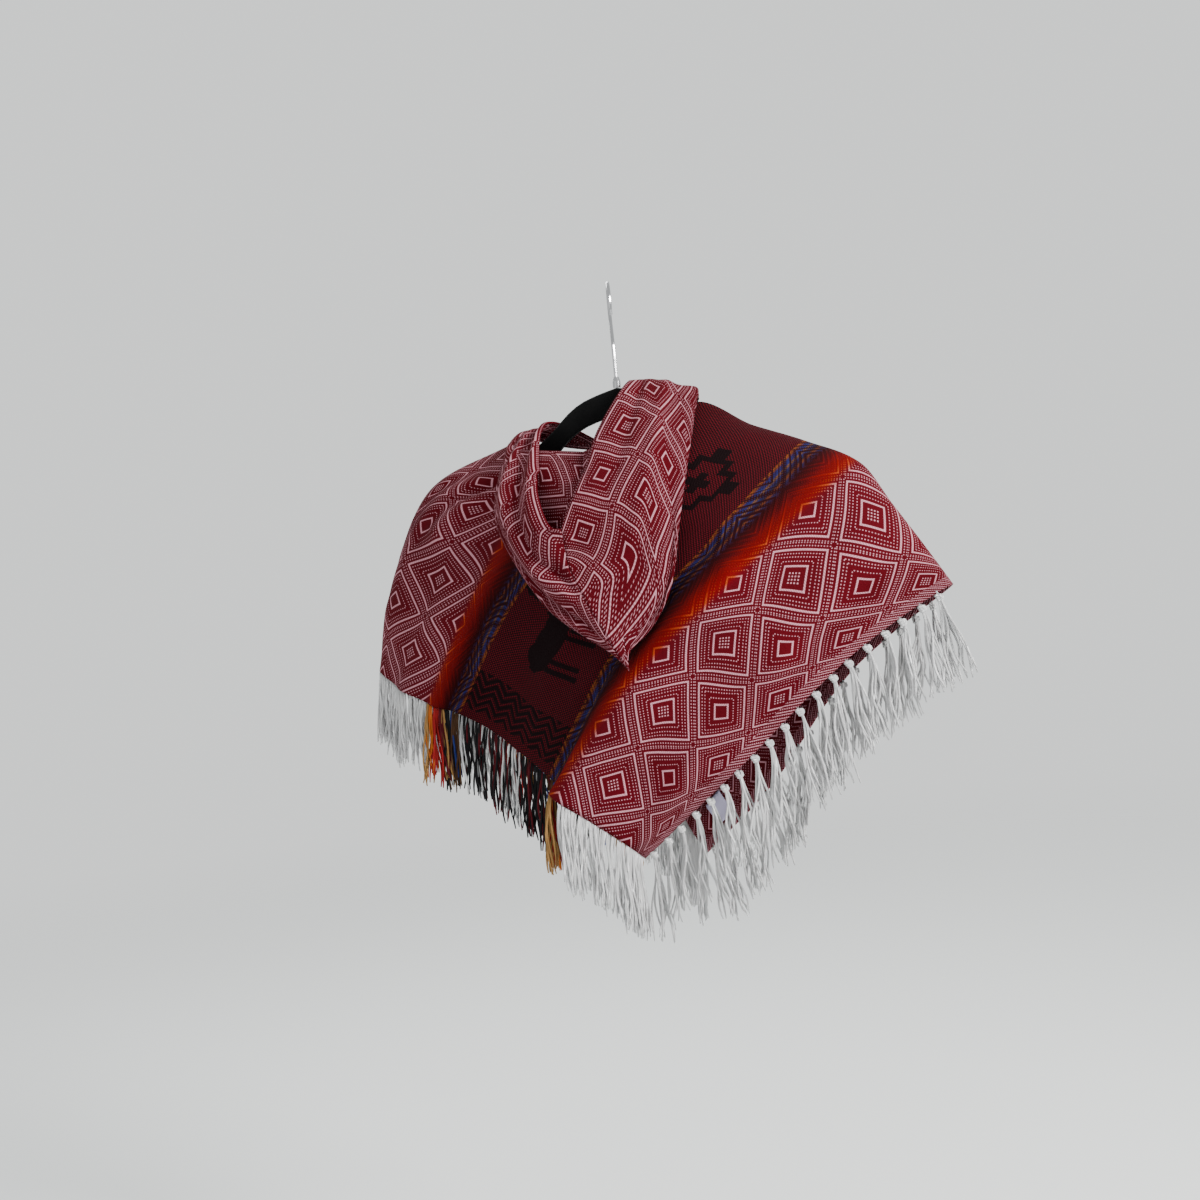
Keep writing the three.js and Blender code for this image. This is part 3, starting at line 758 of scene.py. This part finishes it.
# Creases of the hood, from one (share across, share along) to another.
RIGHT_CREASES = [
    {"name": "beside the face", "from": (0.14, 0.30), "to": (0.10, 0.92), "width": 0.05, "depth": -3.0},
    {"name": "down the middle", "from": (0.36, 0.20), "to": (0.30, 0.95), "width": 0.06, "depth": 2.5},
    {"name": "to the peak", "from": (0.50, 0.55), "to": (0.72, 0.98), "width": 0.06, "depth": -3.0},
    {"name": "over the arm", "from": (0.05, 0.22), "to": (0.55, 0.30), "width": 0.05, "depth": 1.6},
]
LEFT_CREASES = [
    {"name": "edge of the roll", "from": (0.05, 0.30), "to": (0.12, 0.95), "width": 0.06, "depth": 4.0},
    {"name": "behind the roll", "from": (0.20, 0.35), "to": (0.30, 0.95), "width": 0.06, "depth": -5.0},
    {"name": "second roll", "from": (0.40, 0.30), "to": (0.42, 0.90), "width": 0.07, "depth": 3.5},
    {"name": "below it", "from": (0.56, 0.45), "to": (0.62, 0.92), "width": 0.05, "depth": -3.5},
    {"name": "neck gather", "from": (0.15, 0.12), "to": (0.30, 0.30), "width": 0.05, "depth": -2.5},
]


def front_of(grid, points):
    """How far forward a layer comes at each point's x and z; a large value where there is none."""
    step = grid[::4, ::4]
    a, b, c, d = step[:-1, :-1], step[1:, :-1], step[1:, 1:], step[:-1, 1:]
    halves = [np.stack(three, 2).reshape(-1, 3, 3) for three in ([a, b, c], [a, c, d])]
    corners = np.concatenate(halves)
    first, second, third = corners[:, 0], corners[:, 1], corners[:, 2]
    side = second - first
    other = third - first
    whole = side[:, 0] * other[:, 2] - other[:, 0] * side[:, 2]
    whole = np.where(abs(whole) < 1e-6, 1e-6, whole)
    x = points[:, None, 0] - first[None, :, 0]
    z = points[:, None, 2] - first[None, :, 2]
    u = (x * other[None, :, 2] - other[None, :, 0] * z) / whole
    w = (side[None, :, 0] * z - x * side[None, :, 2]) / whole
    depth = first[:, 1] + u * side[:, 1] + w * other[:, 1]
    return np.where((u >= 0) & (w >= 0) & (u + w <= 1), depth, 1e3).min(axis=1)


def relax(grid, times, share):
    """Soften a grid inside its edges."""
    for _ in range(times):
        middle = (grid[:-2, 1:-1] + grid[2:, 1:-1] + grid[1:-1, :-2] + grid[1:-1, 2:]) / 4
        grid[1:-1, 1:-1] += share * (middle - grid[1:-1, 1:-1])
    return grid


def hood_half(name, node, rows, creases, side, near, material):
    """One half of the hood; side is 1 on the right and -1 on the left."""
    across = np.linspace(0.0, 1.0, 56)
    along = np.linspace(0.0, 1.0, 76)
    grid = net(rows, QUARTERS, across, along)
    lift = through([row["at"] for row in rows], [[row["lift"]] for row in rows], across)
    x, v = np.meshgrid(across, along, indexing="ij")
    front = front_of(near, grid.reshape(-1, 3)).reshape(x.shape)
    clear = np.minimum(grid[..., 1], front - lift)
    grid[..., 1] += smoothstep(v, 0.4, 0.6) * (clear - grid[..., 1])
    relax(grid, 6, 0.6)
    normal = grid_normals(grid)
    normal *= -side
    fade = smoothstep(1.0 - v, 0.0, 0.1) * smoothstep(1.0 - x, 0.0, 0.1) * smoothstep(v, 0.0, 0.15)
    grid += normal * (crease_height(creases, x, v) * fade)[..., None]
    s = np.zeros(x.shape)
    t = np.zeros(x.shape)
    s[1:] = np.cumsum(np.linalg.norm(np.diff(grid, axis=0), axis=2), axis=0)
    t[:, 1:] = np.cumsum(np.linalg.norm(np.diff(grid, axis=1), axis=2), axis=1)
    index = np.arange(x.size).reshape(x.shape)
    quads = quads_of(index, side < 0)
    uv = grid_uv(quads, index, np.stack([side * s, t], -1))
    half = mesh_piece(name, grid.reshape(-1, 3), quads.tolist(), material, uv)
    thicken(half, CLOTH)
    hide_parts(node)
    return half


# ------------------------------------------------------------------ yarns


def tubes(name, paths, radii, dyes, material, sides=5):
    """Many yarns as one mesh: each has its own path, radius and colour."""
    points, faces, uv, colours = [], [], [], []
    turn = np.linspace(0.0, 2 * math.pi, sides, endpoint=False)
    for path, radius, dye in zip(paths, radii, dyes):
        path = np.asarray(path)
        heading = np.gradient(path, axis=0)
        heading /= np.linalg.norm(heading, axis=1, keepdims=True)
        aside = np.cross(heading, (0.31, 0.95, 0.05))
        aside /= np.linalg.norm(aside, axis=1, keepdims=True)
        up = np.cross(heading, aside)
        far_along = np.concatenate([[0.0], np.cumsum(np.linalg.norm(np.diff(path, axis=0), axis=1))])
        thick = radius * np.interp(np.linspace(0, 1, len(path)), [0, 0.08, 0.85, 1], [0.8, 1, 1, 0.55])
        start = len(points)
        for centre, a, b, r in zip(path, aside, up, thick):
            points.extend(centre + r * (math.cos(w) * a + math.sin(w) * b) for w in turn)
        for k in range(len(path) - 1):
            for m in range(sides):
                n = (m + 1) % sides
                row = start + k * sides
                faces.append((row + m, row + n, row + sides + n, row + sides + m))
                low, high = far_along[k], far_along[k + 1]
                first, second = m * 1000.0 / sides, (m + 1) * 1000.0 / sides
                uv.extend([(first, low), (second, low), (second, high), (first, high)])
        for ring, order in ((start, -1), (start + (len(path) - 1) * sides, 1)):
            faces.append(tuple(range(ring, ring + sides))[::order])
            uv.extend([(0.0, 0.0)] * sides)
        colours.extend([(*dye, 1.0)] * (len(path) * sides))
    piece = mesh_piece(name, points, faces, material, uv, "strand")
    dyes_of = piece.data.color_attributes.new("dye", "FLOAT_COLOR", "POINT")
    dyes_of.data.foreach_set("color", np.asarray(colours, np.float32).ravel())
    return piece


def hanging_yarn(start, away, length, lean, wave):
    """A loose yarn that leaves the edge and turns down, with a slow wander."""
    t = np.linspace(0.0, 1.0, 11)
    out = 5.0 * (1.0 - np.exp(-6.0 * t))
    fall = length * np.maximum(t - 0.35 * (1 - np.exp(-6.0 * t)) / 6.0, 0.0)
    phase = RNG.uniform(0, 2 * math.pi, 2)
    sway = wave * np.sin(t * RNG.uniform(3.5, 8.0) + phase[0]) - wave * math.sin(phase[0])
    nod = wave * np.sin(t * RNG.uniform(3.0, 7.0) + phase[1]) - wave * math.sin(phase[1])
    path = start + out[:, None] * away
    path[:, 0] += lean[0] * t ** 1.3 + sway * t ** 0.5
    path[:, 1] += lean[1] * t ** 1.3 + 0.7 * nod * t ** 0.5
    path[:, 2] -= fall
    return path


WHITE = (0.97, 0.965, 0.97)
TAN = (0.45, 0.24, 0.08)
ORANGE = (0.72, 0.17, 0.02)
RED = (0.42, 0.015, 0.015)
MAROON = (0.14, 0.008, 0.015)
BLUE = (0.03, 0.05, 0.24)
BROWN = (0.10, 0.045, 0.02)
BLACK = (0.014, 0.013, 0.015)
GREY = (0.42, 0.42, 0.43)

ZONES = {                    # (from yarn, to yarn, dyes in order)
    "white": (4, 146, [WHITE]),
    "rainbow": (154, 215, [TAN, RED, ORANGE, MAROON, TAN, BLACK, BLUE, BROWN]),
    "dark": (223, 334, [BLACK, BLACK, GREY, BLACK, BLACK, BLACK, MAROON, BLACK, WHITE]),
    "left_rainbow": (336, 403, [BROWN, BLUE, BLACK, TAN, MAROON, RED, ORANGE, TAN]),
    "left_white": (405, 546, [WHITE]),
}


def make_fringe(layer_name, grid, material):
    """The warp ends below one hem, one piece for each run of colour."""
    hem = grid[:, 0]
    above = grid[:, 3]
    pieces = []
    for zone, (low, high, dyes) in ZONES.items():
        paths, radii, shades = [], [], []
        bunches = int((high - low) / 6.0)
        for k in range(bunches):
            q = low + (high - low) * (k + 0.5) / bunches
            lean = RNG.normal(0, 2.5, 2)
            length = FRINGE * RNG.uniform(0.86, 1.04)
            for _ in range(5):
                at = q + RNG.uniform(-3.0, 3.0)
                start = np.array([np.interp(at, BODY_Q, hem[:, i]) for i in range(3)])
                inner = np.array([np.interp(at, BODY_Q, above[:, i]) for i in range(3)])
                away = (start - inner) / np.linalg.norm(start - inner)
                start = start + away * 0.8
                start[1] += RNG.uniform(-0.8, 0.8)
                spread = lean + RNG.normal(0, 1.8, 2)
                paths.append(hanging_yarn(start, away, length * RNG.uniform(0.88, 1.03), spread, 2.6))
                radii.append(RNG.uniform(0.85, 1.1))
                shade = dyes[min(int(k * len(dyes) / bunches), len(dyes) - 1)]
                if zone == "dark":
                    shade = dyes[RNG.integers(len(dyes))]
                shades.append(tuple(np.clip(np.array(shade) * RNG.uniform(0.93, 1.05), 0, 1)))
        piece = tubes(f"warp_ends_{layer_name}_{zone}", paths, radii, shades, material)
        node = f"fringe_{layer_name}_{zone}"
        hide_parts(node)
        pieces.append(piece)
    return pieces


def knot_paths(centre, away, size):
    """A small overhand knot: two turns of doubled yarn round the bunch."""
    side = np.cross(away, (0.0, 0.0, 1.0))
    side /= max(np.linalg.norm(side), 1e-6)
    front = np.cross(side, away)
    paths = []
    for turn in range(3):
        w = np.linspace(0, 2 * math.pi, 9)
        tilt = 0.9 * np.sin(w + turn)
        ring = (np.cos(w)[:, None] * side + np.sin(w)[:, None] * front) * size
        paths.append(centre + ring + (turn * 1.5 - 1.5 + tilt)[:, None] * away)
    return paths


def make_tassels(layer_name, grid, material, low, high):
    """Knotted bunches along the side edge."""
    edge = grid[0]
    inner = grid[3]
    run = np.concatenate([[0.0], np.cumsum(np.linalg.norm(np.diff(edge, axis=0), axis=1))])
    count = int(run[-1] * (high - low) / TASSEL_SPACING)
    paths, radii, shades = [], [], []
    for k in range(count + 1):
        along = run[-1] * (low + (high - low) * k / count) + RNG.uniform(-1.2, 1.2)
        place = np.array([np.interp(along, run, edge[:, i]) for i in range(3)])
        inside = np.array([np.interp(along, run, inner[:, i]) for i in range(3)])
        away = (place - inside) / np.linalg.norm(place - inside)
        away = away + np.array([0.0, 0.0, -0.9])
        away /= np.linalg.norm(away)
        knot = place + away * 4.0
        for path in knot_paths(knot, away, 2.2):
            paths.append(path)
            radii.append(1.6)
            shades.append(WHITE)
        for _ in range(2):
            paths.append(np.linspace(place - away * 2.0, knot, 4))
            radii.append(1.3)
            shades.append(WHITE)
        lean = np.array([RNG.normal(3.0, 5.0), RNG.normal(0, 2.5)])
        length = FRINGE * RNG.uniform(0.84, 1.02)
        for _ in range(10):
            spread = lean + RNG.normal(0, 4.5, 2) * (1.0, 0.6)
            start = knot + away * 1.5 + RNG.uniform(-1.1, 1.1, 3)
            paths.append(hanging_yarn(start, away, length * RNG.uniform(0.86, 1.04), spread, 3.6))
            radii.append(RNG.uniform(0.85, 1.15))
            shades.append(tuple(np.array(WHITE) * RNG.uniform(0.9, 1.04)))
    piece = tubes(f"knotted_tassels_{layer_name}", paths, radii, shades, material)
    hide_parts(f"tassels_{layer_name}")
    return piece


# ------------------------------------------------------------------ label


def make_label(far, material):
    """A blank patch sewn to the inside of the far layer near its knotted corner."""
    q = np.linspace(LABEL_START, LABEL_START + LABEL_WIDTH, 9)
    v = np.linspace(0.10, 0.17, 9)
    patch = np.empty((9, 9, 3))
    for i in range(3):
        columns = np.array([np.interp(v, BODY_V, far[k, :, i]) for k in range(len(BODY_Q))])
        patch[..., i] = np.array([np.interp(q, BODY_Q, columns[:, j]) for j in range(9)]).T
    patch[..., 1] -= CLOTH + 0.5
    index = np.arange(81).reshape(9, 9)
    quads = quads_of(index, True)
    place = np.stack(np.broadcast_arrays(q[:, None] - LABEL_START, (v * FAR_LENGTH)[None, :]), -1)
    corner_uv = grid_uv(quads, index, place)
    label = mesh_piece("blank_label", patch.reshape(-1, 3), quads.tolist(), material, corner_uv)
    thicken(label, 0.6)
    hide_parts("label")
    return label


# ------------------------------------------------------------------ everything

make_camera()
make_lights()
make_floor(studio_floor())

YARN = plied_yarn()
HOOD = woven_hood()
body, near_grid, far_grid = make_body(woven_body())
right_half = hood_half(
    "hood_right_half", "hood_right", HOOD_RIGHT, RIGHT_CREASES, 1, near_grid, HOOD)
left_half = hood_half(
    "hood_left_half", "hood_left", HOOD_LEFT, LEFT_CREASES, -1, near_grid, HOOD)
near_ends = make_fringe("near", near_grid, YARN)
far_ends = make_fringe("far", far_grid, YARN)
near_tassels = make_tassels("near", near_grid, YARN, 0.03, 0.95)
far_tassels = make_tassels("far", far_grid, YARN, 0.03, 0.92)
label = make_label(far_grid, label_finish())

WIRE = chrome()
for node, material in (("hanger_arms", flock()), ("hanger_collar", WIRE), ("hanger_hook", WIRE)):
    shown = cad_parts[node]
    shown.data.materials.clear()
    shown.data.materials.append(material)
